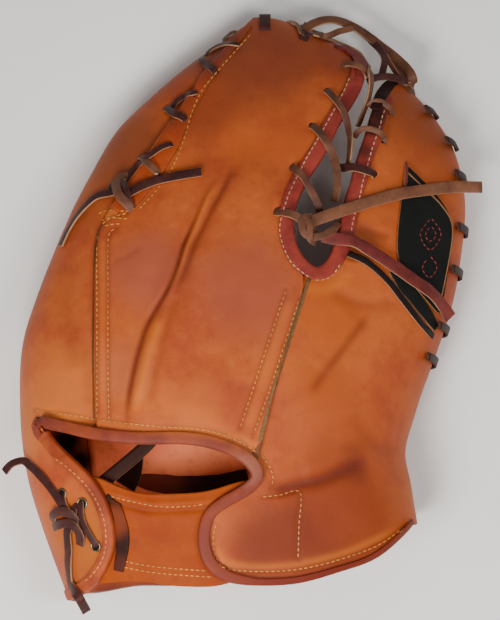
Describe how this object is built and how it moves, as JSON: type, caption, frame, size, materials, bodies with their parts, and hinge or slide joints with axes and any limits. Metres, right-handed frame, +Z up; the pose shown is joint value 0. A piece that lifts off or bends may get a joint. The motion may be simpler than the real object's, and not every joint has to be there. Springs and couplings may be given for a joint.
{
  "type": "first baseman mitt",
  "caption": "Left-hand leather first baseman mitt, lying palm down: padded palm, back panels, wrist strap, laced web slit and rawhide laces.",
  "frame": {"origin": "under the middle of the mitt's box, on the surface that it lies on", "axes": "+Z up from the palm side to the back, +Y from the heel to the finger tips, +X to the thumb side"},
  "size_m": [0.2644, 0.3306, 0.0947],
  "materials": {
    "back_leather": "smooth oiled leather, worn and creased",
    "side_leather": "smooth oiled leather, worn and creased",
    "palm_leather": "smooth dark palm leather, soiled",
    "lining_leather": "soft lining leather, slightly fuzzy",
    "strap_leather": "smooth oiled strap leather",
    "edge_leather": "rolled edge binding, satin",
    "web_edge_leather": "red rolled edge binding, satin",
    "dark_leather": "dark worn leather",
    "lace_leather": "rawhide lace, dry",
    "label_cloth": "woven label cloth, matt",
    "eyelet_metal": "dull plated eyelet"
  },
  "bodies": {
    "root": {"palm": "palm_leather", "palm_lining": "lining_leather", "finger_side_panel": "side_leather", "thumb_panel": "side_leather", "back_panel": "back_leather", "wrist_strap": "strap_leather", "opening_binding": "edge_leather", "flap_binding": "edge_leather", "web_binding": "web_edge_leather", "thumb_label": "label_cloth", "web_lace_1": "lace_leather", "web_lace_2": "lace_leather", "web_lace_3": "lace_leather", "web_lace_4": "lace_leather", "web_lace_5": "lace_leather", "web_lace_6": "lace_leather", "web_lace_7": "lace_leather", "web_tail_upper": "lace_leather", "web_tail_lower": "lace_leather", "web_tail_under": "lace_leather", "tip_lace_1": "lace_leather", "tip_lace_2": "lace_leather", "tip_lace_3": "lace_leather", "tip_lace_4": "lace_leather", "tip_lace_5": "lace_leather", "side_lace_1": "lace_leather", "side_lace_2": "lace_leather", "side_lace_3": "lace_leather", "side_lace_4": "lace_leather", "side_lace_5": "lace_leather", "side_lace_6": "lace_leather", "side_tail_left": "lace_leather", "side_tail_right": "lace_leather", "tip_rim_lace_1": "lace_leather", "tip_rim_lace_2": "lace_leather", "strap_lace_1": "lace_leather", "strap_tail_left": "lace_leather", "strap_tail_down": "lace_leather", "inner_hand_strap": "dark_leather", "web_knot": "lace_leather", "side_knot": "lace_leather", "strap_knot": "lace_leather", "rim_lace_1": "lace_leather", "rim_lace_2": "lace_leather", "rim_lace_3": "lace_leather", "rim_lace_4": "lace_leather", "rim_lace_5": "lace_leather", "rim_lace_6": "lace_leather", "rim_lace_7": "lace_leather", "eyelet_1": "eyelet_metal", "eyelet_2": "eyelet_metal", "eyelet_3": "eyelet_metal", "eyelet_4": "eyelet_metal"}
  },
  "joints": []
}
